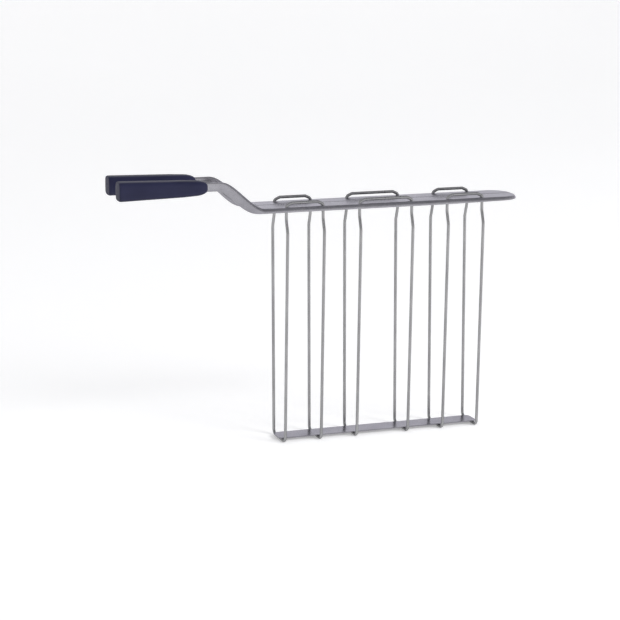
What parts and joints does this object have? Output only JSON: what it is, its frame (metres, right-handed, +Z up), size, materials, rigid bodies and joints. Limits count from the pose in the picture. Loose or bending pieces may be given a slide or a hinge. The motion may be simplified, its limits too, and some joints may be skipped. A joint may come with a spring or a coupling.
{
  "type": "toaster sandwich rack",
  "caption": "Sprung wire rack that holds a slice or sandwich in a toaster slot, with two pressed steel arms and plastic grips.",
  "frame": {"origin": "middle of the overall box at table level, where the rack stands on its wire feet", "axes": "+X along the arms away from the grips, -Y towards the viewer of the picture (front), +Z up"},
  "size_m": [0.2416, 0.0332, 0.1563],
  "materials": {
    "spring_wire": "drawn stainless spring wire, semi-bright",
    "pressed_steel": "pressed stainless sheet, polished",
    "grip_plastic": "moulded navy-black plastic, soft satin"
  },
  "bodies": {
    "base": {"base_strip": "pressed_steel", "foot_wire_1": "spring_wire", "foot_wire_2": "spring_wire", "foot_wire_3": "spring_wire", "foot_wire_4": "spring_wire", "foot_wire_5": "spring_wire", "foot_wire_6": "spring_wire"},
    "front_frame": {"front_arm": "pressed_steel", "front_grip": "grip_plastic", "front_wire_loop_1": "spring_wire", "front_wire_loop_2": "spring_wire", "front_wire_loop_3": "spring_wire"},
    "rear_frame": {"rear_arm": "pressed_steel", "rear_grip": "grip_plastic", "rear_wire_loop_1": "spring_wire", "rear_wire_loop_2": "spring_wire", "rear_wire_loop_3": "spring_wire"}
  },
  "joints": [
    {"name": "front_flex", "type": "hinge", "parent": "base", "child": "front_frame", "pos_m": [0.0364, -0.0103, 0.00555], "axis": [1, 0, 0], "range_deg": [0, 8], "stiffness_Nm_per_rad": 4, "springref_deg": -2.86},
    {"name": "rear_flex", "type": "hinge", "parent": "base", "child": "rear_frame", "pos_m": [0.0364, 0.0103, 0.00555], "axis": [-1, 0, 0], "range_deg": [0, 8], "stiffness_Nm_per_rad": 4, "springref_deg": -2.86}
  ]
}
